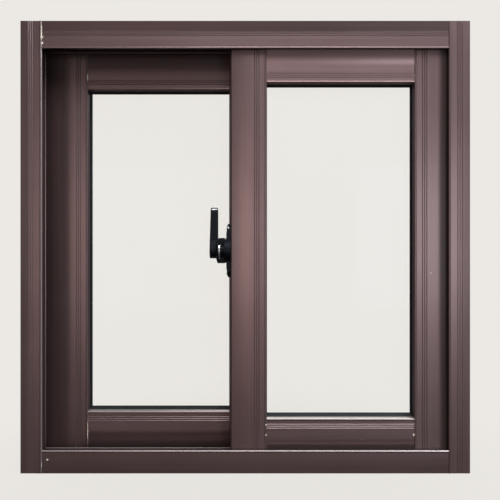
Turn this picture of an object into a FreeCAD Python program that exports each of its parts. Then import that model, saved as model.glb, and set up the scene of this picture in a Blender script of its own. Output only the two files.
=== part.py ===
import FreeCAD, Part
import math
import os

# A two-track horizontal sliding window of extruded aluminium, seen from the room.
# X runs to the right along the sill, Y runs from the room to the outside, Z runs up.
# The origin is under the middle of the sill. All sizes are in millimetres.
# The front sash closes the right half, and the rear sash is the same sash turned half round.

# Outer frame
FRAME_WIDTH = 600.0
FRAME_HEIGHT = 604.0
JAMB_FACE = 28.3
HEAD_FACE = 36.9
SILL_FACE = 30.6
JAMB_FIN = 21.4
HEAD_FIN = 31.0
SILL_FIN = 22.1
FRAME_WALL = 1.6
WEB_RECESS = 5.6
BEAD_DEPTH = 3.2
BEAD_WIDTH = 3.0
BEAD_RADIUS = 1.5
BEAD_RISE = 0.7
RIB_WIDTH = 2.0
RIB_TOP = 9.2
JOINT_GAP = 0.25
JAMB_LINES = (10.6, 13.4, 16.3)
HEAD_LINES = (13.9, 16.6, 19.3)
DRAIN_LENGTH = 25.0
DRAIN_HEIGHT = 5.0
DRAIN_OFFSET = 170.0
FIXING_RADIUS = 2.75
FIXING_SPACING = 400.0

# Sash
SASH_THICKNESS = 28.0
SASH_WALL = 1.6
RUNNING_GAP = 5.0
FIN_GAP = 5.0
SASH_BOTTOM = 14.5
SASH_TOP = 583.0
MEETING_STILE = 48.6
OUTER_STILE = 59.7
RAIL_HEIGHT = 56.5
TOP_RAIL_HEIGHT = 59.2
RAIL_RECESS = 0.6
SLOT_DEPTH = 22.5
REAR_STANDOFF = 6.2
POCKET_WIDTH = 10.0
POCKET_DEPTH = 11.0
LEDGE_SPLAY = 1.0
STILE_EDGE_RADIUS = 1.8
RAIL_LINES = (7.2, 9.9, 12.6)
STILE_LINES = (10.6, 13.5, 16.4)
LINE_WIDTH = 1.2
LINE_DEPTH = 0.5

# Glazing
GLASS_THICKNESS = 5.0
GLASS_BITE = 8.5
GASKET_BITE = 10.5
GASKET_NOSE = 3.0
SILL_NOSE = 4.5
MEETING_NOSE = 0.7

# Hooks that draw the two meeting stiles together
HOOK_WALL = 1.4
HOOK_LENGTH = 9.0
HOOK_OFFSET = 11.5
HOOK_FOOT = 8.0
HOOK_HALF_GAP = 1.4
HOOK_BOTTOM = 27.1
HOOK_TOP = 568.0

# Rollers in the bottom rail
WHEEL_RADIUS = 8.5
WHEEL_WIDTH = 8.0
WHEEL_SEAT = 0.3
AXLE_RADIUS = 2.0
AXLE_CLEARANCE = 0.05
HOUSING_LENGTH = 46.0
HOUSING_CHEEK = 2.5
CHEEK_CLEARANCE = 0.5
CHEEK_SKIRT = 2.5
ROLLER_INSET = 40.0

# Lock on the edge of the front meeting stile
LOCK_HEIGHT = 297.4
PLATE_LENGTH = 73.1
PLATE_WIDTH = 18.0
PLATE_THICKNESS = 6.0
PLATE_TIP = 4.0
PLATE_FLAT = 46.0
BOSS_RADIUS = 16.8
BOSS_HEIGHT = 2.1
PIVOT_RADIUS = 4.0
PIVOT_CLEARANCE = 0.06
CRESCENT_GAP = 0.3
CRESCENT_RADIUS = 17.3
CRESCENT_THICKNESS = 6.3
CRESCENT_HUB = 9.0
WASHER_THICKNESS = 1.8
WASHER_RADIUS = 12.3
WASHER_BORE = 6.0
WASHER_FLAT = 7.0
TAB_HALF_WIDTH = 6.0
SKIRT_RIM = 1.6
SKIRT_HEIGHT = 2.2
LEVER_NEAR = 17.5
LEVER_FAR = 28.7
LEVER_TIP_FAR = 27.3
LEVER_LENGTH = 58.5
LEVER_HUB_RADIUS = 10.6
LEVER_HUB_ANGLE = 12.0
LEVER_NECK = 14.0
LEVER_NECK_HALF_WIDTH = 6.6
LEVER_TIP_HALF_WIDTH = 5.6
LEVER_TIP_CHAMFER = 2.8
LEVER_FILLET = 1.3

BEAD_LEAN = math.degrees(math.asin((BEAD_RADIUS - BEAD_RISE) / BEAD_RADIUS))
FRAME_DEPTH = 2 * (BEAD_DEPTH + RUNNING_GAP + SASH_THICKNESS + FIN_GAP) + FRAME_WALL
FRONT_Y = -FRAME_DEPTH / 2
SASH_FACE_Y = FRONT_Y + BEAD_DEPTH + RUNNING_GAP
TRACK_Y = SASH_FACE_Y + SASH_THICKNESS / 2
WEB_TOP = WEB_RECESS + FRAME_WALL
SASH_RIGHT = FRAME_WIDTH / 2 - WEB_TOP - RUNNING_GAP
SASH_LEFT = -19.8
HALF_TURN_X = REAR_STANDOFF / 2
LIP = (SASH_THICKNESS - POCKET_WIDTH) / 2
GLASS_LEFT = SASH_LEFT + MEETING_STILE
GLASS_RIGHT = SASH_RIGHT - OUTER_STILE
GLASS_BOTTOM = SASH_BOTTOM + RAIL_HEIGHT
GLASS_TOP = SASH_TOP - TOP_RAIL_HEIGHT

X_AXIS = FreeCAD.Vector(1, 0, 0)
Y_AXIS = FreeCAD.Vector(0, 1, 0)
Z_AXIS = FreeCAD.Vector(0, 0, 1)


def box(low, high):
    """A block between two opposite corners, given in any order."""
    corner = [min(a, b) for a, b in zip(low, high)]
    size = [abs(b - a) for a, b in zip(low, high)]
    return Part.makeBox(size[0], size[1], size[2], FreeCAD.Vector(*corner))


def bar(outline, start, u_axis, v_axis, run, hollows=()):
    """A bar with the section outline in u and v, less its hollows, drawn out along run."""

    def prism(points):
        corners = [start + u_axis * u + v_axis * v for u, v in points]
        return Part.Face(Part.makePolygon(corners + corners[:1])).extrude(run)

    solid = prism(outline)
    for hollow in hollows:
        solid = solid.cut(prism(hollow))
    return solid


def rectangle(u_low, u_high, v_low, v_high):
    """The four corners of a rectangle in the section plane."""
    return [(u_low, v_low), (u_high, v_low), (u_high, v_high), (u_low, v_high)]


def rounded(centre_u, centre_v, radius, start, end, steps=4):
    """Points of a rounded corner between two angles in degrees."""
    points = []
    for step in range(steps + 1):
        angle = math.radians(start + (end - start) * step / steps)
        points.append((centre_u + radius * math.cos(angle), centre_v + radius * math.sin(angle)))
    return points


def fine_lines(offsets, level, inward):
    """Points of the fine V-shaped lines that run along a face, in rising order."""
    points = []
    for offset in offsets:
        points.append((offset - LINE_WIDTH / 2, level))
        points.append((offset, level + inward * LINE_DEPTH))
        points.append((offset + LINE_WIDTH / 2, level))
    return points


def bead(centre_u, centre_v, start, crest, end):
    """Points of a raised, rounded bead that reaches its full height at the crest angle."""
    rise = rounded(centre_u, centre_v, BEAD_RADIUS, start, crest, 2)
    return rise[:-1] + rounded(centre_u, centre_v, BEAD_RADIUS, crest, end, 3)


def half_frame_outline(face, lines, ribs):
    """Front half of a frame section, from the outer edge to the foot of the middle fin."""
    inside = BEAD_RISE + FRAME_WALL
    points = [(0, BEAD_RISE)] + fine_lines(lines, BEAD_RISE, 1)
    points += bead(face - BEAD_RADIUS, BEAD_RADIUS, BEAD_LEAN - 180, -90, 0)
    points += [(face, BEAD_DEPTH), (face - BEAD_WIDTH, BEAD_DEPTH)]
    points += [(face - BEAD_WIDTH, inside), (WEB_TOP, inside)]
    if ribs:
        middle, half = TRACK_Y - FRONT_Y, RIB_WIDTH / 2
        points += [(WEB_TOP, middle - half), (RIB_TOP - half, middle - half)]
        points += rounded(RIB_TOP - half, middle, half, -90, 90)[1:-1]
        points += [(RIB_TOP - half, middle + half), (WEB_TOP, middle + half)]
    return points


def frame_outline(face, fin, lines, ribs=False):
    """Section of a frame member: a recessed web, two flanges and the middle fin."""
    front = half_frame_outline(face, lines, ribs)
    middle, half, inside = FRAME_DEPTH / 2, FRAME_WALL / 2, BEAD_RISE + FRAME_WALL
    points = front + [(WEB_TOP, middle - half), (fin - half, middle - half)]
    points += rounded(fin - half, middle, half, -90, 90)[1:-1]
    points += [(fin - half, middle + half), (WEB_TOP, middle + half)]
    points += [(u, FRAME_DEPTH - v) for u, v in reversed(front)]
    points += [(0, FRAME_DEPTH - inside), (WEB_RECESS, FRAME_DEPTH - inside)]
    return points + [(WEB_RECESS, inside), (0, inside)]


def make_jamb(side):
    """A full-height jamb with two fixing holes through its web."""
    start = FreeCAD.Vector(side * FRAME_WIDTH / 2, FRONT_Y, 0)
    outline = frame_outline(JAMB_FACE, JAMB_FIN, JAMB_LINES)
    jamb = bar(outline, start, X_AXIS * -side, Y_AXIS, Z_AXIS * FRAME_HEIGHT)
    for height in (-FIXING_SPACING / 2, FIXING_SPACING / 2):
        centre = FreeCAD.Vector(side * FRAME_WIDTH / 2, TRACK_Y, FRAME_HEIGHT / 2 + height)
        jamb = jamb.cut(Part.makeCylinder(FIXING_RADIUS, 2 * WEB_TOP, centre, X_AXIS * -side))
    return jamb


def cope_ends(member):
    """Cut back the flanges and fin of the head or sill, so its web alone reaches the jambs."""
    flange_reach = FRAME_WIDTH / 2 - JAMB_FACE - JOINT_GAP
    fin_reach = FRAME_WIDTH / 2 - JAMB_FIN
    strips = [(flange_reach, FRONT_Y, FRONT_Y + BEAD_DEPTH)]
    strips.append((flange_reach, -FRONT_Y - BEAD_DEPTH, -FRONT_Y))
    strips.append((fin_reach, -FRAME_WALL / 2, FRAME_WALL / 2))
    for reach, y_low, y_high in strips:
        for side in (-1, 1):
            far = side * FRAME_WIDTH / 2
            member = member.cut(box((side * reach, y_low, -1), (far, y_high, FRAME_HEIGHT + 1)))
    return member


def make_drains(sill):
    """Cut the two drain slots through the outside flange of the sill, just above its web."""
    for side in (-1, 1):
        middle = side * DRAIN_OFFSET
        low = (middle - DRAIN_LENGTH / 2, -FRONT_Y - 2 * FRAME_WALL, WEB_TOP + 1)
        high = (middle + DRAIN_LENGTH / 2, -FRONT_Y + 1, WEB_TOP + 1 + DRAIN_HEIGHT)
        sill = sill.cut(box(low, high))
    return sill


def make_frame():
    """The two jambs from top to bottom, with the head and sill coped in between them."""
    reach = FRAME_WIDTH / 2 - WEB_TOP
    across = X_AXIS * 2 * reach
    low_corner = FreeCAD.Vector(-reach, FRONT_Y, 0)
    high_corner = FreeCAD.Vector(-reach, FRONT_Y, FRAME_HEIGHT)
    left, right = make_jamb(-1), make_jamb(1)
    head = bar(frame_outline(HEAD_FACE, HEAD_FIN, HEAD_LINES), high_corner, -Z_AXIS, Y_AXIS, across)
    sill = bar(frame_outline(SILL_FACE, SILL_FIN, (), True), low_corner, Z_AXIS, Y_AXIS, across)
    return {
        "left_jamb": left,
        "right_jamb": right,
        "head": cope_ends(head),
        "sill": make_drains(cope_ends(sill)),
    }


def face_outline(width, lines, recess, splay, outer_radius):
    """One face of a sash section, from the outer edge over the bead to the glass pocket."""
    level = recess + BEAD_RISE
    if outer_radius:
        points = rounded(width - outer_radius, level + outer_radius, outer_radius, 0, -90)
    else:
        points = [(width, level)]
    points += reversed(fine_lines(lines, level, 1))
    points += bead(BEAD_RADIUS, recess + BEAD_RADIUS, 360 - BEAD_LEAN, 270, 180)
    return points + [(-splay, LIP), (POCKET_DEPTH, LIP)]


def sash_outline(width, lines, recess=0.0, splay=LEDGE_SPLAY, slot=0.0):
    """Section of a sash member, with u from the glass edge outwards and v through the sash."""
    outer_radius = 0.0 if slot else STILE_EDGE_RADIUS
    front = face_outline(width, lines, recess, splay, outer_radius)
    points = front + [(u, SASH_THICKNESS - v) for u, v in reversed(front)]
    if slot:
        inside = recess + BEAD_RISE + SASH_WALL
        points += [(width, SASH_THICKNESS - inside), (width - slot, SASH_THICKNESS - inside)]
        points += [(width - slot, inside), (width, inside)]
    return points


def sash_hollows(width, recess=0.0):
    """The hollow chambers of a sash member: before, behind and outside the glass pocket."""
    thick = SASH_THICKNESS
    low, end = recess + BEAD_RISE + SASH_WALL, width - SASH_WALL
    return [
        rectangle(SASH_WALL, end, low, LIP - SASH_WALL),
        rectangle(SASH_WALL, end, thick - LIP + SASH_WALL, thick - low),
        rectangle(POCKET_DEPTH + SASH_WALL, end, low, thick - low),
    ]


def make_stile(glass_x, outward, width, splay):
    """A stile that runs the full height of the sash."""
    start = FreeCAD.Vector(glass_x, SASH_FACE_Y, SASH_BOTTOM)
    run = Z_AXIS * (SASH_TOP - SASH_BOTTOM)
    outline = sash_outline(width, STILE_LINES, 0.0, splay)
    return bar(outline, start, X_AXIS * outward, Y_AXIS, run, sash_hollows(width))


def make_rail(glass_z, outward, height):
    """A rail between the stiles, slotted along its outer edge."""
    start = FreeCAD.Vector(GLASS_LEFT, SASH_FACE_Y, glass_z)
    run = X_AXIS * (GLASS_RIGHT - GLASS_LEFT)
    outline = sash_outline(height, RAIL_LINES, RAIL_RECESS, LEDGE_SPLAY, SLOT_DEPTH)
    hollows = sash_hollows(height - SLOT_DEPTH, RAIL_RECESS)
    return bar(outline, start, Z_AXIS * outward, Y_AXIS, run, hollows)


def gasket_outline(splay, nose):
    """Section of the channel gasket round the edge of the pane, with its sloping lips."""
    low, high = LIP, LIP + POCKET_WIDTH
    face, back = (SASH_THICKNESS - GLASS_THICKNESS) / 2, (SASH_THICKNESS + GLASS_THICKNESS) / 2
    points = [(GASKET_BITE, low), (-splay, low), (-nose, face), (GLASS_BITE, face)]
    points += [(GLASS_BITE, back), (-nose, back), (-splay, high), (GASKET_BITE, high)]
    return points


def make_glazing():
    """The pane and the four lengths of gasket that hold its edges in the pockets."""
    face_y = SASH_FACE_Y + (SASH_THICKNESS - GLASS_THICKNESS) / 2
    pane = box(
        (GLASS_LEFT - GLASS_BITE, face_y, GLASS_BOTTOM - GLASS_BITE),
        (GLASS_RIGHT + GLASS_BITE, face_y + GLASS_THICKNESS, GLASS_TOP + GLASS_BITE),
    )
    foot = GLASS_BOTTOM - GASKET_BITE
    rise = Z_AXIS * (GLASS_TOP + GASKET_BITE - foot)
    across = X_AXIS * (GLASS_RIGHT - GLASS_LEFT)
    stile_side = FreeCAD.Vector(GLASS_LEFT, SASH_FACE_Y, foot)
    outer_side = FreeCAD.Vector(GLASS_RIGHT, SASH_FACE_Y, foot)
    low_side = FreeCAD.Vector(GLASS_LEFT, SASH_FACE_Y, GLASS_BOTTOM)
    high_side = FreeCAD.Vector(GLASS_LEFT, SASH_FACE_Y, GLASS_TOP)
    narrow, wide = gasket_outline(0.0, MEETING_NOSE), gasket_outline(LEDGE_SPLAY, GASKET_NOSE)
    meeting = bar(narrow, stile_side, -X_AXIS, Y_AXIS, rise)
    outer = bar(wide, outer_side, X_AXIS, Y_AXIS, rise)
    deep = gasket_outline(LEDGE_SPLAY, SILL_NOSE)
    bottom = bar(deep, low_side, -Z_AXIS, Y_AXIS, across).cut(meeting).cut(outer)
    top = bar(wide, high_side, Z_AXIS, Y_AXIS, across).cut(meeting).cut(outer)
    return {
        "glass": pane,
        "gasket_meeting": meeting,
        "gasket_outer": outer,
        "gasket_bottom": bottom,
        "gasket_top": top,
    }


def make_interlock():
    """The hook along the back of the front meeting stile, with its foot away from the other hook."""
    back = SASH_FACE_Y + SASH_THICKNESS - BEAD_RISE
    leg_x = HALF_TURN_X - HOOK_OFFSET
    tip_y = HOOK_HALF_GAP + HOOK_WALL
    outline = [(leg_x - HOOK_FOOT, back), (leg_x + HOOK_WALL, back)]
    outline += [(leg_x + HOOK_WALL, HOOK_HALF_GAP), (leg_x + HOOK_LENGTH, HOOK_HALF_GAP)]
    outline += [(leg_x + HOOK_LENGTH, tip_y), (leg_x, tip_y)]
    outline += [(leg_x, back + HOOK_WALL), (leg_x - HOOK_FOOT, back + HOOK_WALL)]
    start = FreeCAD.Vector(0, 0, HOOK_BOTTOM)
    return bar(outline, start, X_AXIS, Y_AXIS, Z_AXIS * (HOOK_TOP - HOOK_BOTTOM))


def make_wheel(centre):
    """A roller, bored for its axle."""
    start = centre - Y_AXIS * WHEEL_WIDTH / 2
    wheel = Part.makeCylinder(WHEEL_RADIUS, WHEEL_WIDTH, start, Y_AXIS)
    return wheel.cut(Part.makeCylinder(AXLE_RADIUS + AXLE_CLEARANCE, WHEEL_WIDTH, start, Y_AXIS))


def make_housing(centre, ceiling):
    """Two cheeks beside the wheel, the bridge over it under the rail's web, and the axle."""
    x_low, x_high = centre.x - HOUSING_LENGTH / 2, centre.x + HOUSING_LENGTH / 2
    inside = WHEEL_WIDTH / 2 + CHEEK_CLEARANCE
    outside = inside + HOUSING_CHEEK
    z_low = centre.z - AXLE_RADIUS - CHEEK_SKIRT
    slot_top = centre.z + WHEEL_RADIUS + CHEEK_CLEARANCE
    housing = box((x_low, centre.y - outside, z_low), (x_high, centre.y + outside, ceiling))
    slot_low = (x_low - 1, centre.y - inside, z_low - 1)
    housing = housing.cut(box(slot_low, (x_high + 1, centre.y + inside, slot_top)))
    return housing.fuse(Part.makeCylinder(AXLE_RADIUS, 2 * outside, centre - Y_AXIS * outside, Y_AXIS))


def make_rollers():
    """A housing and a wheel near each end of the bottom rail."""
    ceiling = SASH_BOTTOM + SLOT_DEPTH
    axle_z = RIB_TOP + WHEEL_SEAT + WHEEL_RADIUS
    housings, wheels = [], []
    for x in (GLASS_LEFT + ROLLER_INSET, GLASS_RIGHT - ROLLER_INSET):
        centre = FreeCAD.Vector(x, TRACK_Y, axle_z)
        housings.append(make_housing(centre, ceiling))
        wheels.append(make_wheel(centre))
    return {
        "roller_housings": Part.makeCompound(housings),
        "roller_wheels": Part.makeCompound(wheels),
    }


def make_sash():
    """The front sash, closed against the right jamb."""
    meeting = make_stile(GLASS_LEFT, -1, MEETING_STILE, 0.0)
    outer = make_stile(GLASS_RIGHT, 1, OUTER_STILE, LEDGE_SPLAY)
    pieces = {
        "meeting_stile": meeting,
        "outer_stile": outer,
        "top_rail": make_rail(GLASS_TOP, 1, TOP_RAIL_HEIGHT).cut(meeting).cut(outer),
        "bottom_rail": make_rail(GLASS_BOTTOM, -1, RAIL_HEIGHT).cut(meeting).cut(outer),
        "interlock": make_interlock(),
    }
    pieces.update(make_glazing())
    pieces.update(make_rollers())
    return pieces


def half_turn(shape):
    """The same shape turned half round the upright line midway between the sashes."""
    turned = shape.copy()
    turned.rotate(FreeCAD.Vector(HALF_TURN_X, 0, 0), Z_AXIS, 180)
    return turned


def lock_point(out, y=0.0, z=0.0):
    """A point given by its distance out from the stile's edge, and from the pivot."""
    return FreeCAD.Vector(SASH_LEFT - out, TRACK_Y + y, LOCK_HEIGHT + z)


def lock_disc(radius, out_low, out_high):
    """A disc round the pivot between two distances out from the stile's edge."""
    return Part.makeCylinder(radius, out_high - out_low, lock_point(out_low), -X_AXIS)


def make_lock_base():
    """The screwed plate with tapered, rounded ends, and the round boss at the pivot."""
    half, flat_half = PLATE_LENGTH / 2, PLATE_FLAT / 2
    side_view = [(0, -half), (PLATE_TIP, -half), (PLATE_THICKNESS, -flat_half)]
    side_view += [(PLATE_THICKNESS, flat_half), (PLATE_TIP, half), (0, half)]
    start = lock_point(0, -PLATE_WIDTH / 2)
    wedge = bar(side_view, start, -X_AXIS, Z_AXIS, Y_AXIS * PLATE_WIDTH)
    end_radius = PLATE_WIDTH / 2
    straight = half - end_radius
    low, high = lock_point(0, -end_radius, -straight), lock_point(PLATE_THICKNESS, end_radius, straight)
    plan = box(tuple(low), tuple(high))
    for end in (-straight, straight):
        centre = lock_point(0, 0, end)
        plan = plan.fuse(Part.makeCylinder(end_radius, PLATE_THICKNESS, centre, -X_AXIS))
    top = PLATE_THICKNESS + BOSS_HEIGHT
    base = wedge.common(plan).fuse(lock_disc(BOSS_RADIUS, 0, top))
    return base.cut(lock_disc(PIVOT_RADIUS + PIVOT_CLEARANCE, 0, top + 1)).removeSplitter()


def washer_span():
    """How far out from the stile's edge the washer begins and ends."""
    low = PLATE_THICKNESS + BOSS_HEIGHT + CRESCENT_GAP + CRESCENT_THICKNESS
    return low, low + WASHER_THICKNESS


def make_lock_washer():
    """The washer between the crescent and the lever, with a flat under the crescent's tab."""
    low, high = washer_span()
    washer = lock_disc(WASHER_RADIUS, low, high)
    corner = lock_point(low - 1, -WASHER_RADIUS, WASHER_FLAT)
    washer = washer.cut(box(tuple(corner), tuple(lock_point(high + 1, WASHER_RADIUS, WASHER_RADIUS))))
    return washer.cut(lock_disc(WASHER_BORE, low - 1, high + 1))


def make_lock_crescent(washer):
    """The half-round cam that reaches behind the other sash, its hub, tab and pivot."""
    low = PLATE_THICKNESS + BOSS_HEIGHT + CRESCENT_GAP
    middle, high = washer_span()
    reach = 2 * CRESCENT_RADIUS
    blank = lock_disc(CRESCENT_RADIUS, low, high)
    rear_half = box(tuple(lock_point(low - 1, 0, -reach)), tuple(lock_point(high + 1, reach, reach)))
    tab_low = lock_point(middle, -TAB_HALF_WIDTH, WASHER_FLAT)
    tab = box(tuple(tab_low), tuple(lock_point(high, TAB_HALF_WIDTH, reach)))
    cam = blank.common(rear_half).fuse(lock_disc(CRESCENT_HUB, low, middle))
    cam = cam.cut(washer).fuse(lock_disc(WASHER_BORE, middle, high)).fuse(blank.common(tab))
    return cam.fuse(lock_disc(PIVOT_RADIUS, CRESCENT_GAP, low)).removeSplitter()


def lever_blank():
    """The lever seen from its side: a round hub that flares out of a slim, chamfered handle."""
    radius, angle = LEVER_HUB_RADIUS, math.radians(LEVER_HUB_ANGLE)
    side_y, side_z = radius * math.cos(angle), radius * math.sin(angle)
    half, tip, chamfer = LEVER_NECK_HALF_WIDTH, LEVER_TIP_HALF_WIDTH, LEVER_TIP_CHAMFER
    right = [(side_y, side_z), (half, LEVER_NECK), (tip, LEVER_LENGTH - chamfer)]
    right.append((tip - chamfer, LEVER_LENGTH))
    outline = [lock_point(LEVER_NEAR, y, z) for y, z in right]
    outline += [lock_point(LEVER_NEAR, -y, z) for y, z in reversed(right)]
    edges = [Part.makeLine(a, b) for a, b in zip(outline, outline[1:])]
    hub = Part.Arc(outline[-1], lock_point(LEVER_NEAR, 0, -radius), outline[0])
    wire = Part.Wire(edges + [hub.toShape()])
    return Part.Face(wire).extrude(-X_AXIS * (LEVER_FAR - LEVER_NEAR))


def make_lock_lever():
    """The upright lever, thinner at its tip, with the skirted rim beside the crescent."""
    radius = LEVER_HUB_RADIUS
    front_view = [(LEVER_NEAR, -radius), (LEVER_NEAR, LEVER_LENGTH), (LEVER_TIP_FAR, LEVER_LENGTH)]
    front_view += [(LEVER_FAR, radius), (LEVER_FAR, -radius)]
    wedge = bar(front_view, lock_point(0, -radius), -X_AXIS, Z_AXIS, Y_AXIS * 2 * radius)
    lever = lever_blank().common(wedge)
    lever = lever.makeFillet(LEVER_FILLET, lever.Edges)
    rim_start = washer_span()[1]
    rim_end = rim_start + SKIRT_RIM
    rim = lock_disc(CRESCENT_RADIUS, rim_start, rim_end)
    skirt = Part.makeCone(CRESCENT_RADIUS, radius, SKIRT_HEIGHT, lock_point(rim_end), -X_AXIS)
    return lever.fuse(rim).fuse(skirt)


def build():
    """Every piece of the window by name."""
    pieces = make_frame()
    for name, shape in make_sash().items():
        pieces["front_" + name] = shape
        pieces["rear_" + name] = half_turn(shape)
    pieces["lock_base"] = make_lock_base()
    pieces["lock_washer"] = make_lock_washer()
    pieces["lock_crescent"] = make_lock_crescent(pieces["lock_washer"])
    pieces["lock_lever"] = make_lock_lever()
    return pieces


os.makedirs("parts", exist_ok=True)
for name, shape in build().items():
    shape.exportStep(os.path.join("parts", name + ".step"))
    print(name, len(shape.Solids), "solids", round(shape.Volume / 1000, 2), "cm3", shape.isValid())
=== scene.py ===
import logging
import math
import random
from dataclasses import dataclass, field
from enum import Enum

import bpy
from mathutils import Matrix, Vector


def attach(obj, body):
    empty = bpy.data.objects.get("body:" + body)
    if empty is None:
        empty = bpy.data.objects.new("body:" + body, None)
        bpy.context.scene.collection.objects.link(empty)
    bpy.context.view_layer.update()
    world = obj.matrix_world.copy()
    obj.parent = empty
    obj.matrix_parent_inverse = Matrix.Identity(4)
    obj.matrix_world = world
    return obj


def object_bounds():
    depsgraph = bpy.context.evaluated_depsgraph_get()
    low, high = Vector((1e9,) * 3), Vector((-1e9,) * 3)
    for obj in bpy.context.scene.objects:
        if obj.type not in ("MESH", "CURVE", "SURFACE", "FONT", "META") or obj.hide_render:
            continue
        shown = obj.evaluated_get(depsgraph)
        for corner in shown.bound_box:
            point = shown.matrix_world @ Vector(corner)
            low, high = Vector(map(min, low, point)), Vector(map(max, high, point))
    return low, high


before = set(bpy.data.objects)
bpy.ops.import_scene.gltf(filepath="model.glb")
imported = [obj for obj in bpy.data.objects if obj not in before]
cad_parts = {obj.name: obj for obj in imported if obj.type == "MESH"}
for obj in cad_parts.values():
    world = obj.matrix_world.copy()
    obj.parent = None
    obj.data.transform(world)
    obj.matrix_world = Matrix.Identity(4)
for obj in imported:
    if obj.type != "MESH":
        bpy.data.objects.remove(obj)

# The looks of a brown aluminium sliding window. Lengths are in metres, Y runs from the room to the
# outside, and noise scales are in waves per metre.

CAD_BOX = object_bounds()
LOG = logging.getLogger("window")

PALE_WALL = (0.840, 0.815, 0.776)
FLOOR_SEEN = (0.260, 0.252, 0.240)
FLOOR_BOUNCE = (0.050, 0.045, 0.040)
# painted highlight: the pale bronze laid on rims and edges that face the lamps
BRONZE_HIGHLIGHT = (0.560, 0.500, 0.480)
BRONZE_BODY = (0.173, 0.103, 0.100)
BRONZE_LIGHT = (0.203, 0.132, 0.129)
BRONZE_DARK = (0.133, 0.073, 0.070)
DUST = (0.300, 0.265, 0.240)
BARE_METAL = (0.840, 0.740, 0.580)
RUBBER_BLACK = (0.007, 0.007, 0.008)
RUBBER_GREY = (0.020, 0.019, 0.020)
LOCK_BLACK = (0.0035, 0.004, 0.006)
# painted highlight: the paler, cooler black that the lock's lacquer turns towards its top
LOCK_HIGHLIGHT = (0.022, 0.024, 0.030)
PILE_GREY = (0.022, 0.021, 0.022)
NYLON_WHITE = (0.560, 0.530, 0.460)
ZINC = (0.720, 0.715, 0.695)
# painted glint: the near-white laid where the lock catches the light
GLINT_WHITE = (0.850, 0.850, 0.860)
ZINC_STAIN = (0.300, 0.280, 0.240)
GLASS_TINT = (0.800, 0.830, 0.810)
GLASS_EDGE = (0.050, 0.160, 0.120)
SOFT_SKY = (0.950, 0.970, 1.000)
CHIP_EDGE = (1.15, 1.45)
TOUCHING = 1e-6

Colour = tuple[float, float, float]
Point = tuple[float, float, float]


class Grain(Enum):
    """The direction in which a bar was drawn, as the stretch of its streaks along X, Y and Z."""

    ACROSS = (1.2, 90.0, 90.0)
    UPRIGHT = (90.0, 90.0, 1.2)


class Side(Enum):
    """The room side or the outside of the window, as the sign of Y."""

    ROOM = -1
    OUTSIDE = 1


class Signal:
    """A shader socket that Python operators combine into Math nodes."""

    def __init__(self, graph: "Graph", socket: bpy.types.NodeSocket) -> None:
        """Wrap a socket.

        Args:
            graph: The graph that owns the socket.
            socket: The output socket to read.
        """
        self.graph = graph
        self.socket = socket

    def math(self, operation: str, *others: "Signal | float") -> "Signal":
        """Combine this value with others.

        Args:
            operation: The Math node's operation.
            others: The second and third values, where the operation has them.

        Returns:
            The result as a new signal.
        """
        values = dict(enumerate((self, *others)))
        return self.graph.node("ShaderNodeMath", {"operation": operation}, values)

    def __add__(self, other: "Signal | float") -> "Signal":
        """The sum."""
        return self.math("ADD", other)

    def __radd__(self, other: float) -> "Signal":
        """The sum, from the right."""
        return self.math("ADD", other)

    def __sub__(self, other: "Signal | float") -> "Signal":
        """The difference."""
        return self.math("SUBTRACT", other)

    def __rsub__(self, other: float) -> "Signal":
        """A number less this value."""
        return self.math("MULTIPLY", -1.0) + other

    def __mul__(self, other: "Signal | float") -> "Signal":
        """The product."""
        return self.math("MULTIPLY", other)

    def __rmul__(self, other: float) -> "Signal":
        """The product, from the right."""
        return self.math("MULTIPLY", other)

    def ramp(self, low: float, high: float) -> "Signal":
        """Rise smoothly from 0 to 1 between two values.

        Args:
            low: The value that gives 0.
            high: The value that gives 1.

        Returns:
            The smooth step as a new signal.
        """
        settings = {"interpolation_type": "SMOOTHSTEP"}
        inputs = {"Value": self, "From Min": low, "From Max": high}
        return self.graph.node("ShaderNodeMapRange", settings, inputs)


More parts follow.
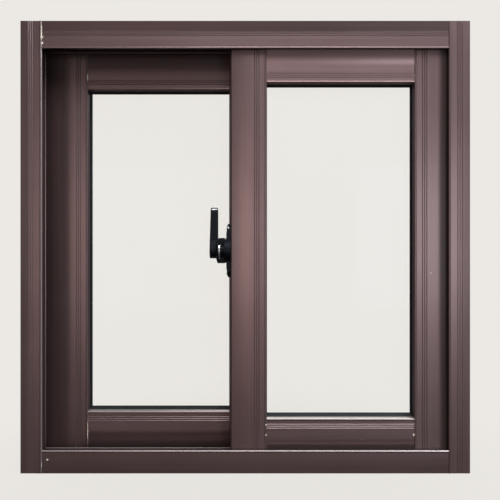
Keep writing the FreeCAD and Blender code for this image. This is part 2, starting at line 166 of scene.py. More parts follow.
class Graph:
    """The node tree of one new material, with its Principled shader."""

    def __init__(self, name: str) -> None:
        """Start a material.

        Args:
            name: The material's name.
        """
        self.material = bpy.data.materials.new(name)
        self.material.use_nodes = True
        self.tree = self.material.node_tree
        self.shader = self.tree.nodes["Principled BSDF"]
        self.coordinates = self.node("ShaderNodeTexCoord", output="Object")

    def node(
        self,
        kind: str,
        settings: dict[str, object] | None = None,
        inputs: dict[object, object] | None = None,
        output: str | int = 0,
    ) -> Signal:
        """Add a node.

        Args:
            kind: The node's type.
            settings: Properties that are set before the inputs.
            inputs: Values or signals by socket name or index.
            output: The socket that is returned.

        Returns:
            The chosen output as a signal.
        """
        made = self.tree.nodes.new(kind)
        for key, value in (settings or {}).items():
            setattr(made, key, value)
        for key, value in (inputs or {}).items():
            self.feed(made.inputs[key], value)
        return Signal(self, made.outputs[output])

    def feed(self, socket: bpy.types.NodeSocket, value: object) -> None:
        """Link a signal to a socket, or set the socket's own value.

        Args:
            socket: The input to fill.
            value: A signal, a number, a colour or a vector.
        """
        if isinstance(value, Signal):
            self.tree.links.new(value.socket, socket)
        elif isinstance(value, tuple) and len(value) == 3 and len(socket.default_value) == 4:
            socket.default_value = (*value, 1.0)
        else:
            socket.default_value = value

    def stretched(self, scale: Point) -> Signal:
        """Object coordinates scaled along each axis."""
        return self.node("ShaderNodeMapping", None, {"Vector": self.coordinates, "Scale": scale})

    def noise(self, scale: float, detail: float = 3.0, stretch: Point | None = None) -> Signal:
        """Add a noise pattern.

        Args:
            scale: Its fineness, in waves per metre.
            detail: Its octaves.
            stretch: An optional scale along each axis, applied first.

        Returns:
            The noise value, about 0.5 on average.
        """
        place = self.stretched(stretch) if stretch else self.coordinates
        inputs = {"Vector": place, "Scale": scale, "Detail": detail, "Roughness": 0.55}
        return self.node("ShaderNodeTexNoise", None, inputs)

    def axis(self, name: str, source: Signal | None = None) -> Signal:
        """One component of the object coordinates, or of another vector."""
        return self.node("ShaderNodeSeparateXYZ", None, {0: source or self.coordinates}, name)

    def blend(self, amount: Signal, low: Signal | Colour, high: Signal | Colour) -> Signal:
        """Mix two colours.

        Args:
            amount: 0 for the low colour, 1 for the high one.
            low: The first colour.
            high: The second colour.

        Returns:
            The mixed colour.
        """
        settings = {"data_type": "RGBA"}
        inputs = {0: amount, 6: low, 7: high}
        return self.node("ShaderNodeMix", settings, inputs, 2)

    def relief(self, height: Signal, depth: float, strength: float = 1.0) -> Signal:
        """Turn a height pattern into a bumped normal.

        Args:
            height: The pattern, from 0 to 1.
            depth: The height of 1, in metres.
            strength: The strength of the effect.

        Returns:
            The normal.
        """
        inputs = {"Height": height, "Distance": depth, "Strength": strength}
        return self.node("ShaderNodeBump", None, inputs)

    def finish(self, **inputs: object) -> bpy.types.Material:
        """Feed the Principled shader.

        Args:
            inputs: Values by socket name, with underscores for spaces.

        Returns:
            The finished material.
        """
        for key, value in inputs.items():
            self.feed(self.shader.inputs[key.replace("_", " ")], value)
        return self.material


@dataclass(frozen=True)
class Chip:
    """A spot, half sizes along X, Y and Z: a chip in the brown film, and on the lock a painted
    glint.
    """

    place: Point
    reach: Point

    def mask(self, graph: Graph, ragged: Signal) -> Signal:
        """Cover the spot with a ragged edge.

        Args:
            graph: The material's graph.
            ragged: Noise that breaks up the outline.

        Returns:
            1 on the spot and 0 off it.
        """
        shift = {"operation": "SUBTRACT"}
        away = graph.node("ShaderNodeVectorMath", shift, {0: graph.coordinates, 1: self.place})
        scale = tuple(1.0 / reach for reach in self.reach)
        scaled = graph.node("ShaderNodeVectorMath", {"operation": "MULTIPLY"}, {0: away, 1: scale})
        length = graph.node("ShaderNodeVectorMath", {"operation": "LENGTH"}, {0: scaled}, "Value")
        return 1.0 - (length + ragged).ramp(*CHIP_EDGE)


@dataclass(frozen=True)
class Shoulder:
    """A line across a bar beyond which its face falls away, shown by its shading.

    The fall is the slope beyond the line, and a negative one rises. The blend rounds the line off.
    """

    axis: str
    start: float
    outward: int
    fall: float = 0.26
    blend_length: float = 0.006

    def height(self, graph: Graph) -> Signal:
        """Measure how far the face has fallen or risen.

        Args:
            graph: The material's graph.

        Returns:
            The height in metres, which is 0 up to the line and changes evenly beyond it.
        """
        beyond = (graph.axis(self.axis) - self.start) * float(self.outward)
        eased = beyond.math("SMOOTH_MAX", 0.0, self.blend_length)
        return eased * -self.fall


@dataclass(frozen=True)
class BronzeFilm:
    """Brown anodised film on drawn aluminium: faint draw streaks, clouding, dust and chips.

    The gleam is a stretch across the bar, between two places, whose edges get a painted highlight.
    """

    name: str
    grain: Grain
    # painted light level: the whole bar painted lighter or darker for how the light falls on it
    painted_light_level: float = 1.0
    chips: tuple[Chip, ...] = ()
    shoulder: Shoulder | None = None
    gleam: tuple[float, float] | None = None
    metallic: float = 0.7
    chip_metallic: float = 0.1
    dust_cover: float = 0.28
    rim_highlight: float = 0.12
    gleam_highlight: float = 0.75
    gleam_blend: float = 0.0005
    polish: float = 0.32
    coat: float = 0.18
    coat_polish: float = 0.30
    cloud_scale: float = 7.0
    streak_scale: float = 3.0
    speckle_scale: float = 1600.0
    drift_scale: float = 60.0
    ragged_scale: float = 900.0
    texture_depth: float = 0.00004

    def with_painted_light(self, colour: Colour) -> Colour:
        """A colour of the film at this bar's painted light level, for how the light falls on it."""
        return tuple(channel * self.painted_light_level for channel in colour)

    def painted_highlight(self, graph: Graph, facing: Signal) -> Signal:
        """Mark the painted highlight on raised lines' rims and on the edges in the gleam.

        Args:
            graph: The material's graph.
            facing: The surface's normal.

        Returns:
            How strong the painted highlight is, from 0 to 1.
        """
        across = "Z" if self.grain is Grain.ACROSS else "X"
        turned = graph.axis(across, facing)
        # painted highlight on the rims that face up on rails, or right on stiles, towards the lamps
        rims = turned.ramp(0.22, 0.62) * (1.0 - turned.ramp(0.80, 0.93)) * self.rim_highlight
        if not self.gleam:
            return rims
        low, high = self.gleam
        place = graph.axis(across)
        begun = place.ramp(low - self.gleam_blend, low)
        ended = place.ramp(high, high + self.gleam_blend)
        band = begun * (1.0 - ended) * self.gleam_highlight
        return rims.math("MAXIMUM", turned.ramp(0.20, 0.50) * band)

    def worn(self, graph: Graph) -> Signal | None:
        """Mark where the film is chipped.

        Args:
            graph: The material's graph.

        Returns:
            The mask of all chips, or None for a sound bar.
        """
        if not self.chips:
            return None
        ragged = graph.noise(self.ragged_scale, 2.0)
        mask = self.chips[0].mask(graph, ragged)
        for chip in self.chips[1:]:
            mask = mask.math("MAXIMUM", chip.mask(graph, ragged))
        return mask

    def build(self) -> bpy.types.Material:
        """Make the material.

        Returns:
            The film's material.
        """
        graph = Graph(self.name)
        clouds = graph.noise(self.cloud_scale, 4.0)
        streaks = graph.noise(self.streak_scale, 5.0, self.grain.value)
        speckle = graph.noise(self.speckle_scale, 2.0)
        amount = (clouds * 0.55 + streaks * 0.45).ramp(0.32, 0.68)
        colour = graph.blend(amount, self.with_painted_light(BRONZE_DARK), self.with_painted_light(BRONZE_LIGHT))
        colour = graph.blend(speckle.ramp(0.2, 0.8) * 0.35 + 0.4, colour, self.with_painted_light(BRONZE_BODY))
        facing = graph.node("ShaderNodeNewGeometry", output="Normal")
        drifts = graph.noise(self.drift_scale, 5.0).ramp(0.42, 0.7)
        settled = graph.axis("Z", facing).ramp(0.75, 0.95) * drifts * self.dust_cover
        colour = graph.blend(settled, colour, DUST)
        # painted highlight on the lit rims and in the gleam
        colour = graph.blend(self.painted_highlight(graph, facing), colour, BRONZE_HIGHLIGHT)
        rough = self.polish + streaks * 0.06 + settled * 0.3
        metal: Signal | float = self.metallic
        worn = self.worn(graph)
        if worn:
            colour = graph.blend(worn, colour, BARE_METAL)
            rough = rough + worn * 0.12
            metal = self.metallic - worn * (self.metallic - self.chip_metallic)
        height = (speckle * 0.35 + streaks * 0.65) * self.texture_depth
        if self.shoulder:
            height = height + self.shoulder.height(graph)
        return graph.finish(
            Base_Color=colour,
            Metallic=metal,
            Roughness=rough,
            Normal=graph.relief(height, 1.0),
            Coat_Weight=self.coat,
            Coat_Roughness=self.coat_polish,
        )


@dataclass(frozen=True)
class Rubber:
    """Matt black gasket rubber with a grey bloom."""

    name: str = "gasket_rubber"
    bloom_scale: float = 35.0
    grit_scale: float = 1400.0
    grit_depth: float = 0.0001
    specular_level: float = 0.2

    def build(self) -> bpy.types.Material:
        """Make the material.

        Returns:
            The rubber's material.
        """
        graph = Graph(self.name)
        bloom = graph.noise(self.bloom_scale, 5.0).ramp(0.45, 0.75)
        grit = graph.noise(self.grit_scale, 2.0)
        return graph.finish(
            Base_Color=graph.blend(bloom * 0.6, RUBBER_BLACK, RUBBER_GREY),
            Roughness=0.52 + bloom * 0.25,
            Specular_IOR_Level=self.specular_level,
            Normal=graph.relief(grit, self.grit_depth, 0.4),
        )


@dataclass(frozen=True)
class LockLacquer:
    """Satin black lacquer with a painted highlight, paler towards a height, and painted glints."""

    name: str
    highlight_from: float
    highlight_to: float
    glints: tuple[Chip, ...] = ()
    glint_strength: float = 0.75
    glint_scale: float = 900.0
    peel_scale: float = 700.0
    peel_depth: float = 0.00015
    patch_scale: float = 110.0
    specular_level: float = 0.10

    def build(self) -> bpy.types.Material:
        """Make the material.

        Returns:
            The lacquer's material.
        """
        graph = Graph(self.name)
        peel = graph.noise(self.peel_scale, 3.0)
        patches = graph.noise(self.patch_scale, 4.0).ramp(0.40, 0.72)
        # painted highlight: paler towards the top, where the light from above falls, in patches
        painted_highlight = graph.axis("Z").ramp(self.highlight_from, self.highlight_to) * (0.35 + patches * 0.65)
        colour = graph.blend(painted_highlight * 0.8 + patches * 0.12, LOCK_BLACK, LOCK_HIGHLIGHT)
        metal: Signal | float = 0.0
        ragged = graph.noise(self.glint_scale, 2.0)
        # painted glints: near-white spots where the lever's tip and the plate's end catch the light
        for glint in self.glints:
            painted_glint = glint.mask(graph, ragged) * self.glint_strength
            colour = graph.blend(painted_glint, colour, GLINT_WHITE)
            metal = painted_glint * 0.5 + metal
        return graph.finish(
            Base_Color=colour,
            Metallic=metal,
            Roughness=0.36 + patches * 0.14,
            Specular_IOR_Level=self.specular_level,
            Normal=graph.relief(peel, self.peel_depth, 0.3),
        )


@dataclass(frozen=True)
class Pane:
    """Clear float glass, greener and more solid at its cut edges, with a trace of dust."""

    name: str = "float_glass"
    refraction: float = 1.45
    dust_scale: float = 45.0

    def build(self) -> bpy.types.Material:
        """Make the material.

        Returns:
            The glass's material.
        """
        graph = Graph(self.name)
        facing = graph.node("ShaderNodeNewGeometry", output="Normal")
        edge = 1.0 - graph.axis("Y", facing).math("ABSOLUTE").ramp(0.3, 0.9)
        gloss = graph.node("ShaderNodeFresnel", None, {"IOR": self.refraction})
        dust = graph.noise(self.dust_scale, 6.0).ramp(0.55, 0.85)
        alpha = 0.012 + dust * 0.012 + gloss * 0.5 + edge * 0.7
        colour = graph.blend(edge, GLASS_TINT, GLASS_EDGE)
        return graph.finish(
            Base_Color=colour,
            Roughness=0.03 + dust * 0.1,
            Alpha=alpha.math("MINIMUM", 1.0),
        )


@dataclass(frozen=True)
class Nylon:
    """Moulded off-white nylon, grimy in patches."""

    name: str = "roller_nylon"
    grime_scale: float = 90.0
    grain_scale: float = 500.0
    grain_depth: float = 0.0001

    def build(self) -> bpy.types.Material:
        """Make the material.

        Returns:
            The nylon's material.
        """
        graph = Graph(self.name)
        grime = graph.noise(self.grime_scale, 5.0).ramp(0.45, 0.75)
        grain = graph.noise(self.grain_scale)
        return graph.finish(
            Base_Color=graph.blend(grime * 0.5, NYLON_WHITE, BRONZE_DARK),
            Roughness=0.45 + grime * 0.2,
            Normal=graph.relief(grain, self.grain_depth, 0.3),
        )


@dataclass(frozen=True)
class PileFibre:
    """Dark brushed fibre: fine upright threads with paler tips."""

    name: str = "pile_fibre"
    thread_stretch: Point = (2600.0, 300.0, 2600.0)
    thread_depth: float = 0.0004
    sheen: float = 0.3

    def build(self) -> bpy.types.Material:
        """Make the material.

        Returns:
            The fibre's material.
        """
        graph = Graph(self.name)
        threads = graph.noise(1.0, 2.0, self.thread_stretch)
        return graph.finish(
            Base_Color=graph.blend(threads.ramp(0.3, 0.7), RUBBER_BLACK, PILE_GREY),
            Roughness=0.9,
            Sheen_Weight=self.sheen,
            Normal=graph.relief(threads, self.thread_depth, 0.8),
        )


@dataclass(frozen=True)
class ZincPlate:
    """Bright zinc plating with faint cloudy staining."""

    name: str = "zinc_plate"
    stain_scale: float = 400.0

    def build(self) -> bpy.types.Material:
        """Make the material.

        Returns:
            The plating's material.
        """
        graph = Graph(self.name)
        stain = graph.noise(self.stain_scale, 4.0).ramp(0.4, 0.7)
        colour = graph.blend(stain * 0.5, ZINC, ZINC_STAIN)
        return graph.finish(Base_Color=colour, Metallic=0.9, Roughness=0.28 + stain * 0.2)


def deselect() -> None:
    """Leave nothing selected."""
    if bpy.context.object and bpy.context.object.mode != "OBJECT":
        bpy.ops.object.mode_set(mode="OBJECT")
    bpy.ops.object.select_all(action="DESELECT")


def settle(piece: bpy.types.Object) -> bpy.types.Object:
    """Put a piece's place into its mesh, so that its object sits at the origin.

    Args:
        piece: The finished piece.

    Returns:
        The same piece.
    """
    deselect()
    piece.select_set(True)
    bpy.context.view_layer.objects.active = piece
    bpy.ops.object.transform_apply(location=True, rotation=True, scale=True)
    return piece


def apply_modifiers(piece: bpy.types.Object) -> None:
    """Apply every modifier of a piece, in order."""
    deselect()
    piece.select_set(True)
    bpy.context.view_layer.objects.active = piece
    for name in [modifier.name for modifier in piece.modifiers]:
        bpy.ops.object.modifier_apply(modifier=name)


def dress(piece: bpy.types.Object, material: bpy.types.Material) -> None:
    """Give every slot of a piece one material."""
    if not piece.material_slots:
        piece.data.materials.append(material)
    for entry in piece.material_slots:
        entry.material = material


def dress_node(node: str, material: bpy.types.Material) -> None:
    """Give a solid of the frame its finish."""
    dress(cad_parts[node], material)
    LOG.info("%s dressed in %s", node, material.name)


@dataclass
class Screw:
    """A pan-head screw with a cross recess, modelled once and copied where it is driven."""

    radius: float = 0.0028
    height: float = 0.0012
    recess_width: float = 0.0009
    recess_length: float = 0.0034
    recess_depth: float = 0.0008
    sides: int = 32
    crown_share: float = 0.55
    crown_segments: int = 4

    def cutter(self, along_x: bool) -> bpy.types.Object:
        """Make one bar of the cross.

        Args:
            along_x: Whether the bar lies along X rather than Y.

        Returns:
            The bar, which stands through the head's top.
        """
        deselect()
        size = (self.recess_length, self.recess_width, self.recess_depth * 2)
        if not along_x:
            size = (size[1], size[0], size[2])
        bpy.ops.mesh.primitive_cube_add(size=1.0, location=(0, 0, self.height))
        bar = bpy.context.object
        bar.scale = size
        return settle(bar)

    def model(self) -> bpy.types.Object:
        """Model the head, facing +Z with its seat at Z 0.

        Returns:
            The head.
        """
        deselect()
        middle = (0, 0, self.height / 2)
        bpy.ops.mesh.primitive_cylinder_add(
            vertices=self.sides, radius=self.radius, depth=self.height, location=middle
        )
        head = settle(bpy.context.object)
        bpy.ops.object.mode_set(mode="EDIT")
        bpy.ops.mesh.select_all(action="DESELECT")
        bpy.ops.object.mode_set(mode="OBJECT")
        for edge in head.data.edges:
            ends = [head.data.vertices[index].co.z for index in edge.vertices]
            edge.select = min(ends) > self.height - TOUCHING
        bpy.ops.object.mode_set(mode="EDIT")
        crown = self.height * self.crown_share
        bpy.ops.mesh.bevel(offset=crown, segments=self.crown_segments, affect="EDGES")
        bpy.ops.object.mode_set(mode="OBJECT")
        cutters = [self.cutter(True), self.cutter(False)]
        for bar in cutters:
            cut = head.modifiers.new("recess", "BOOLEAN")
            cut.operation = "DIFFERENCE"
            cut.object = bar
        apply_modifiers(head)
        for bar in cutters:
            bpy.data.objects.remove(bar)
        return head

    def drive(self, master: bpy.types.Object, name: str, place: Point, facing: Point, turn: float,
              body: str, material: bpy.types.Material) -> None:
        """Copy the head to a place.

        Args:
            master: The modelled head.
            name: The copy's name.
            place: The middle of its seat.
            facing: The direction its top faces.
            turn: The turn of its cross, in degrees.
            body: The moving body that carries it.
            material: Its finish.
        """
        copy = master.copy()
        copy.data = master.data.copy()
        copy.name = name
        bpy.context.collection.objects.link(copy)
        aim = Vector(facing).to_track_quat("Z", "Y").to_matrix().to_4x4()
        spin = Matrix.Rotation(math.radians(turn), 4, "Z")
        copy.matrix_world = Matrix.Translation(place) @ aim @ spin
        settle(copy)
        dress(copy, material)
        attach(copy, body)
        LOG.info("%s driven into %s", name, body)


@dataclass
class OuterFrame:
    """The jambs, head and sill, with their assembly screws and the brush seals in the flanges.

    Faces are the bars' widths from the front. Lines are how far the raised lines lie from the outer
    edge, and falls are the slopes that the shading shows beyond them.
    """

    jamb_face: float = 0.0283
    head_face: float = 0.0369
    sill_face: float = 0.0306
    jamb_lines: float = 0.0106
    head_lines: float = 0.0139
    jamb_fall: float = 0.09
    head_fall: float = -0.42
    sill_fall: float = 0.10
    # the stretches whose edges get a painted highlight: the left jamb's inner edge and the sill's
    # top
    jamb_gleam: float = 0.0006
    sill_gleam_from: float = 0.0180
    wall: float = 0.0016
    bead_rise: float = 0.0007
    bead: float = 0.0032
    sash_gap: float = 0.005
    web_recess: float = 0.0056
    pile_inset: float = 0.004
    pile_width: float = 0.005
    pile_clearance: float = 0.0003
    pile_cuts: int = 100
    pile_ruffle: float = 0.0006
    pile_taper: float = 0.25
    pile_scatter: float = 0.2
    pile_end_gap: float = 0.006
    pile_upright_gap: float = 0.004
    screw_heights: tuple[float, ...] = (0.014, 0.590)
    screw_depths: tuple[float, ...] = (-0.028, 0.028)
    first_turn: float = 17.0
    turn_step: float = 31.0
    low: Vector = field(default_factory=lambda: CAD_BOX[0].copy())
    high: Vector = field(default_factory=lambda: CAD_BOX[1].copy())

    def chips(self) -> dict[str, tuple[Chip, ...]]:
        """Where the film is chipped at the frame's joints.

        Returns:
            The chips of each solid.
        """
        edge = self.low.x + self.jamb_face
        face = self.low.y
        joint = Chip((edge, face, 0.5890), (0.0008, 0.004, 0.0125))
        blobs = [
            Chip((edge + 0.0006, face, height), (0.0020, 0.004, 0.0019))
            for height in (0.5825, 0.5745)
        ]
        sill_end = Chip((edge + 0.0076, face, 0.0183), (0.0017, 0.002, 0.0017))
        low_joint = Chip((edge, face, 0.012), (0.0005, 0.003, 0.006))
        return {
            "left_jamb": (joint, low_joint, *blobs),
            "head": (joint, *blobs),
            "sill": (sill_end,),
        }

    def shoulders(self) -> dict[str, Shoulder]:
        """Where the outer strips of the frame's faces begin to lean.

        Returns:
            The shoulder of each solid.
        """
        return {
            "left_jamb": Shoulder("X", self.low.x + self.jamb_lines, -1, self.jamb_fall, 0.002),
            "right_jamb": Shoulder("X", self.high.x - self.jamb_lines, 1, self.jamb_fall, 0.002),
            "head": Shoulder("Z", self.high.z - self.head_lines, 1, self.head_fall, 0.002),
            "sill": Shoulder("Z", self.sill_face / 2, -1, self.sill_fall, 0.016),
        }

    def dress_solids(self) -> None:
        """Finish the four solids of the frame."""
        grains = {
            "left_jamb": Grain.UPRIGHT,
            "right_jamb": Grain.UPRIGHT,
            "head": Grain.ACROSS,
            "sill": Grain.ACROSS,
        }
        inner = self.low.x + self.jamb_face
        gleams = {
            "left_jamb": (inner - self.jamb_gleam, inner),
            "sill": (self.sill_gleam_from, self.sill_face),
        }
        chips, shoulders = self.chips(), self.shoulders()
        for node, grain in grains.items():
            film = BronzeFilm(
                "film_" + node,
                grain,
                chips=chips.get(node, ()),
                shoulder=shoulders[node],
                gleam=gleams.get(node),
            )
            dress_node(node, film.build())

    def strip(self, name: str, low: Point, high: Point) -> bpy.types.Object:
        """Model one brush seal as a finely cut block, narrower and ruffled along its brushing side.

        Args:
            name: The seal's name.
            low: Its lowest corner.
            high: Its highest corner.

        Returns:
            The seal, its place in its mesh.
        """
        deselect()
        size = [b - a for a, b in zip(low, high)]
        centre = [(a + b) / 2 for a, b in zip(low, high)]
        bpy.ops.mesh.primitive_cube_add(size=1.0, location=centre)
        piece = bpy.context.object
        piece.name = name
        piece.scale = size
        settle(piece)
        bpy.ops.object.mode_set(mode="EDIT")
        bpy.ops.mesh.select_all(action="SELECT")
        bpy.ops.mesh.subdivide(number_cuts=self.pile_cuts)
        bpy.ops.object.mode_set(mode="OBJECT")
        side_axis = 2 - size.index(max(size))
        dice = random.Random(name)
        brushing_y = min(low[1], high[1], key=abs)
        inward = math.copysign(self.pile_ruffle, -brushing_y)
        for vertex in piece.data.vertices:
            if abs(vertex.co.y - brushing_y) < TOUCHING:
                vertex.co.y -= inward * dice.random()
                toward = centre[side_axis] - vertex.co[side_axis]
                share = self.pile_taper + self.pile_scatter * dice.random()
                vertex.co[side_axis] += toward * share
        return piece

    def seals(self, material: bpy.types.Material) -> None:
        """Set a brush seal behind each flange, on both sides of the window.

        Args:
            material: The fibre's material.
        """
        inset, width = self.pile_inset, self.pile_width
        opening = self.high.x - self.jamb_face
        reach, upright = opening - self.pile_end_gap, opening + inset
        top = self.high.z - self.head_face
        low_z, high_z = self.sill_face + self.pile_upright_gap, top - self.pile_upright_gap
        for side in Side:
            far = self.high.y - self.bead_rise - self.wall
            near = self.high.y - self.bead - self.sash_gap + self.pile_clearance
            y_low, y_high = sorted((side.value * far, side.value * near))
            spans = {
                "head": ((-reach, y_low, top + inset), (reach, y_high, top + inset + width)),
                "sill": (
                    (-reach, y_low, self.sill_face - inset - width),
                    (reach, y_high, self.sill_face - inset),
                ),
                "left": ((-upright - width, y_low, low_z), (-upright, y_high, high_z)),
                "right": ((upright, y_low, low_z), (upright + width, y_high, high_z)),
            }
            for where, (low, high) in spans.items():
                piece = self.strip(f"pile_{where}_{side.name.lower()}", low, high)
                dress(piece, material)
                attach(piece, "frame")
                LOG.info("%s set", piece.name)

    def fasten(self, screw: Screw, master: bpy.types.Object, material: bpy.types.Material) -> None:
        """Drive the assembly screws through the jambs' webs into the head and sill.

        Args:
            screw: The screw's sizes.
            master: The modelled head.
            material: Its finish.
        """
        for side, x in ((-1, self.low.x + self.web_recess), (1, self.high.x - self.web_recess)):
            for level, height in enumerate(self.screw_heights):
                for row, depth in enumerate(self.screw_depths):
                    name = f"jamb_screw_{side + 1}_{level}_{row}"
                    turn = self.first_turn + self.turn_step * (level + 2 * row)
                    place, facing = (x, depth, height), (side, 0, 0)
                    screw.drive(master, name, place, facing, turn, "frame", material)


@dataclass
class Sash:
    """One glazed sash: its bars, gaskets, pane and rollers.

    The outer side is the sign of X towards the sash's jamb.
    """

    prefix: str
    outer_side: int
    shoulder_x: float
    outer_fall: float
    chips: dict[str, tuple[Chip, ...]] = field(default_factory=dict)
    # painted light levels by part: bars painted lighter where light falls and darker in shade
    painted_light_levels: dict[str, float] = field(default_factory=dict)
    top_fall: float = -0.42
    top_shoulder_z: float = 0.5530
    bottom_shoulder_z: float = 0.0410
    # the stretch of the bottom rail's lip whose edges get a painted highlight
    lip_gleam: tuple[float, float] = (0.0700, 0.0720)

    def shoulders(self) -> dict[str, Shoulder]:
        """Where the faces of the bars begin to fall towards the frame.

        Returns:
            The shoulder of each bar that has one.
        """
        return {
            "meeting_stile": Shoulder("X", 0.0, -self.outer_side, 0.22, 0.03),
            "outer_stile": Shoulder("X", self.shoulder_x, self.outer_side, self.outer_fall, 0.010),
            "top_rail": Shoulder("Z", self.top_shoulder_z, 1, self.top_fall, 0.012),
            "bottom_rail": Shoulder("Z", self.bottom_shoulder_z, -1),
        }

    def dress_solids(self, rubber: bpy.types.Material, glass: bpy.types.Material,
                     nylon: bpy.types.Material) -> None:
        """Finish the solids of the sash.

        Args:
            rubber: The gaskets' material.
            glass: The pane's material.
            nylon: The rollers' material.
        """
        grains = {
            "meeting_stile": Grain.UPRIGHT,
            "outer_stile": Grain.UPRIGHT,
            "interlock": Grain.UPRIGHT,
            "top_rail": Grain.ACROSS,
            "bottom_rail": Grain.ACROSS,
        }
        shoulders = self.shoulders()
        for part, grain in grains.items():
            node = self.prefix + part
            film = BronzeFilm(
                "film_" + node,
                grain,
                painted_light_level=self.painted_light_levels.get(part, 1.0),
                chips=self.chips.get(part, ()),
                shoulder=shoulders.get(part),
                gleam=self.lip_gleam if part == "bottom_rail" else None,
            )
            dress_node(node, film.build())
        for edge in ("meeting", "outer", "top", "bottom"):
            dress_node(f"{self.prefix}gasket_{edge}", rubber)
        dress_node(self.prefix + "glass", glass)
        for part in ("roller_housings", "roller_wheels"):
            dress_node(self.prefix + part, nylon)


@dataclass
class CrescentLock:
    """The black lock on the edge of the front meeting stile."""

    plate_top: float = 0.33395
    plate_bottom: float = 0.26085
    screw_inset: float = 0.0056
    plate_edge: float = -0.0244
    track_y: float = -0.0198
    # heights over which the lever and the body grow paler, a painted highlight
    lever_highlight: tuple[float, float] = (0.345, 0.357)
    body_rub: tuple[float, float] = (0.302, 0.318)
    # painted highlights: a band on the lever's tip chamfer and a spot on the plate's rounded top
    # end
    tip_glint: Chip = Chip((-0.0421, -0.0242, 0.3536), (0.0060, 0.0060, 0.0014))
    plate_glint: Chip = Chip((-0.0228, -0.0281, 0.3284), (0.0010, 0.0020, 0.0017))
    first_turn: float = 20.0
    turn_step: float = 50.0

    def dress_solids(self, zinc: bpy.types.Material) -> None:
        """Finish the base, the crescent, the lever and the washer.

        Args:
            zinc: The washer's material.
        """
        lever = LockLacquer("lacquer_lever", *self.lever_highlight, (self.tip_glint,)).build()
        body = LockLacquer("lacquer_body", *self.body_rub, (self.plate_glint,)).build()
        dress_node("lock_lever", lever)
        dress_node("lock_crescent", body)
        dress_node("lock_base", body)
        dress_node("lock_washer", zinc)

    def fasten(self, screw: Screw, master: bpy.types.Object, material: bpy.types.Material) -> None:
        """Drive a screw into each end of the plate.

        Args:
            screw: The screw's sizes.
            master: The modelled head.
            material: Its finish.
        """
        heights = (self.plate_top - self.screw_inset, self.plate_bottom + self.screw_inset)
        for index, height in enumerate(heights):
            name = f"lock_screw_{index}"
            turn = self.first_turn + self.turn_step * index
            place, facing = (self.plate_edge, self.track_y, height), (-1, 0, 0)
            screw.drive(master, name, place, facing, turn, "front_sash", material)


@dataclass(frozen=True)
class Lamp:
    """A soft square lamp, its size in metres and its power in watts."""

    name: str
    place: Point
    target: Point
    size: float
    power: float
    colour: Colour = (1.0, 1.0, 1.0)

    def hang(self) -> None:
        """Hang the lamp at its place, pointed at its target."""
        data = bpy.data.lights.new(self.name, "AREA")
        data.size = self.size
        data.energy = self.power
        data.color = self.colour
        lamp = bpy.data.objects.new(self.name, data)
        bpy.context.collection.objects.link(lamp)
        aim = Vector(self.target) - Vector(self.place)
        turn = aim.to_track_quat("-Z", "Y").to_matrix().to_4x4()
        lamp.matrix_world = Matrix.Translation(self.place) @ turn


LAMPS = (
    Lamp("key", (1.38, -0.78, 1.95), (0.0, 0.0, 0.35), 0.90, 37.0, (0.90, 0.99, 1.08)),
    Lamp("overhead", (0.20, -1.3, 1.9), (0.0, 0.0, 0.35), 1.0, 27.0, (0.95, 1.0, 1.04)),
    Lamp("panel_right", (0.86, -2.2, 0.36), (0.15, 0.0, 0.33), 0.70, 8.4, (0.88, 1.00, 1.08)),
    Lamp("panel_left", (-0.45, -2.2, 0.36), (-0.1, 0.0, 0.33), 0.70, 6.2, (1.0, 0.94, 0.90)),
    Lamp("back", (0.4, 2.2, 1.8), (0.0, 0.0, 0.3), 1.4, 20.0),
)


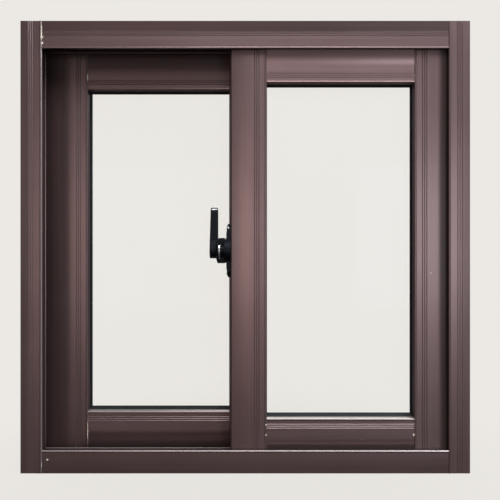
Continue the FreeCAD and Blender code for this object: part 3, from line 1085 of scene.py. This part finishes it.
@dataclass
class Studio:
    """The pale floor and surroundings, the soft lamps and the camera."""

    camera_place: Point = (0.00633, -0.907, 0.2982)
    lens: float = 46.71
    sensor: float = 36.0
    view_range: tuple[float, float] = (0.01, 100.0)
    floor_reach: float = 30.0
    floor_drop: float = 0.0002
    shadow_near: float = 0.12
    shadow_far: float = 0.55
    shadow_share: float = 0.08
    ambient: float = 0.12
    lamps: tuple[Lamp, ...] = LAMPS

    def floor(self) -> None:
        """Lay the floor, which keeps the object's shadow and fades into the pale surroundings."""
        deselect()
        place = (0, 0, -self.floor_drop)
        bpy.ops.mesh.primitive_plane_add(size=2 * self.floor_reach, location=place)
        plane = settle(bpy.context.object)
        plane.name = "floor"
        graph = Graph("floor_pale")
        path = graph.node("ShaderNodeLightPath", output="Is Camera Ray")
        graph.finish(Base_Color=graph.blend(path, FLOOR_BOUNCE, FLOOR_SEEN), Roughness=0.9)
        glow = graph.node("ShaderNodeEmission", None, {"Color": PALE_WALL, "Strength": 1.0})
        distance = graph.node(
            "ShaderNodeVectorMath", {"operation": "LENGTH"}, {0: graph.coordinates}, "Value"
        )
        far = distance.ramp(self.shadow_near, self.shadow_far)
        fade = far * self.shadow_share + (1.0 - self.shadow_share)
        shader = Signal(graph, graph.shader.outputs[0])
        mixed = graph.node("ShaderNodeMixShader", None, {0: fade * path, 1: shader, 2: glow})
        output = graph.tree.nodes["Material Output"]
        graph.feed(output.inputs["Surface"], mixed)
        dress(plane, graph.material)

    def surroundings(self) -> None:
        """Light the scene softly from all round, and show the camera a pale wall."""
        world = bpy.data.worlds.new("surroundings")
        bpy.context.scene.world = world
        world.use_nodes = True
        tree = world.node_tree
        tree.nodes.clear()
        output = tree.nodes.new("ShaderNodeOutputWorld")
        mix = tree.nodes.new("ShaderNodeMixShader")
        seen, soft = tree.nodes.new("ShaderNodeBackground"), tree.nodes.new("ShaderNodeBackground")
        path = tree.nodes.new("ShaderNodeLightPath")
        seen.inputs["Color"].default_value = (*PALE_WALL, 1.0)
        soft.inputs["Color"].default_value = (*SOFT_SKY, 1.0)
        soft.inputs["Strength"].default_value = self.ambient
        tree.links.new(path.outputs["Is Camera Ray"], mix.inputs[0])
        tree.links.new(soft.outputs[0], mix.inputs[1])
        tree.links.new(seen.outputs[0], mix.inputs[2])
        tree.links.new(mix.outputs[0], output.inputs["Surface"])

    def camera(self) -> None:
        """Set the camera at the photograph's viewpoint, level and square to the window."""
        data = bpy.data.cameras.new("camera")
        data.lens = self.lens
        data.sensor_width = self.sensor
        data.clip_start, data.clip_end = self.view_range
        camera = bpy.data.objects.new("camera", data)
        bpy.context.collection.objects.link(camera)
        camera.location = self.camera_place
        camera.rotation_euler = (math.pi / 2, 0.0, 0.0)
        bpy.context.scene.camera = camera

    def build(self) -> None:
        """Set up everything round the object."""
        bpy.context.scene.view_settings.view_transform = "Standard"
        self.floor()
        self.surroundings()
        for lamp in self.lamps:
            lamp.hang()
        self.camera()


def sashes() -> tuple[Sash, Sash]:
    """Describe the two sashes' finish: film chips and painted light levels, by part.

    Returns:
        The front and the rear sash.
    """
    front_face, rear_face = -0.0338, 0.0058
    front_chips = {
        "meeting_stile": (
            Chip((-0.0200, front_face, 0.5330), (0.0012, 0.002, 0.0035)),
            Chip((-0.0198, front_face, 0.0600), (0.0012, 0.002, 0.0020)),
            Chip((0.0280, front_face, 0.0627), (0.0009, 0.002, 0.0020)),
            Chip((0.0280, front_face, 0.0492), (0.0009, 0.002, 0.0018)),
        ),
        "top_rail": (Chip((0.2283, front_face, 0.5330), (0.0007, 0.003, 0.0050)),),
        "bottom_rail": (
            Chip((0.2270, front_face, 0.0492), (0.0014, 0.003, 0.0026)),
            Chip((0.1560, front_face, 0.0430), (0.0007, 0.002, 0.0007)),
        ),
        "outer_stile": (
            Chip((0.2500, front_face, 0.2672), (0.0008, 0.002, 0.0008)),
            Chip((0.2276, front_face, 0.0492), (0.0012, 0.006, 0.0030)),
        ),
    }
    rear_chips = {
        "outer_stile": (
            Chip((-0.2220, rear_face, 0.5412), (0.0012, 0.006, 0.0066)),
            Chip((-0.2213, rear_face, 0.0430), (0.0014, 0.006, 0.0240)),
        ),
    }
    front = Sash(
        "front_",
        outer_side=1,
        shoulder_x=0.2656,
        outer_fall=0.75,
        chips=front_chips,
        # painted light: the front top rail is painted lighter, as if lit from above
        painted_light_levels={"top_rail": 1.35},
    )
    rear = Sash(
        "rear_",
        outer_side=-1,
        shoulder_x=-0.2504,
        outer_fall=0.28,
        chips=rear_chips,
        # painted shade: the rear outer stile and top rail are painted darker
        painted_light_levels={"outer_stile": 0.86, "top_rail": 0.95},
        top_fall=0.16,
    )
    return front, rear


def main() -> None:
    """Dress the window and set up the studio."""
    logging.basicConfig(level=logging.INFO, format="%(name)s: %(message)s")
    zinc = ZincPlate().build()
    screw = Screw()
    master = screw.model()
    outer = OuterFrame()
    outer.dress_solids()
    outer.seals(PileFibre().build())
    outer.fasten(screw, master, zinc)
    rubber, glass, nylon = Rubber().build(), Pane().build(), Nylon().build()
    for sash in sashes():
        sash.dress_solids(rubber, glass, nylon)
    lock = CrescentLock()
    lock.dress_solids(zinc)
    lock.fasten(screw, master, zinc)
    bpy.data.objects.remove(master)
    Studio().build()


if __name__ == "__main__":
    main()
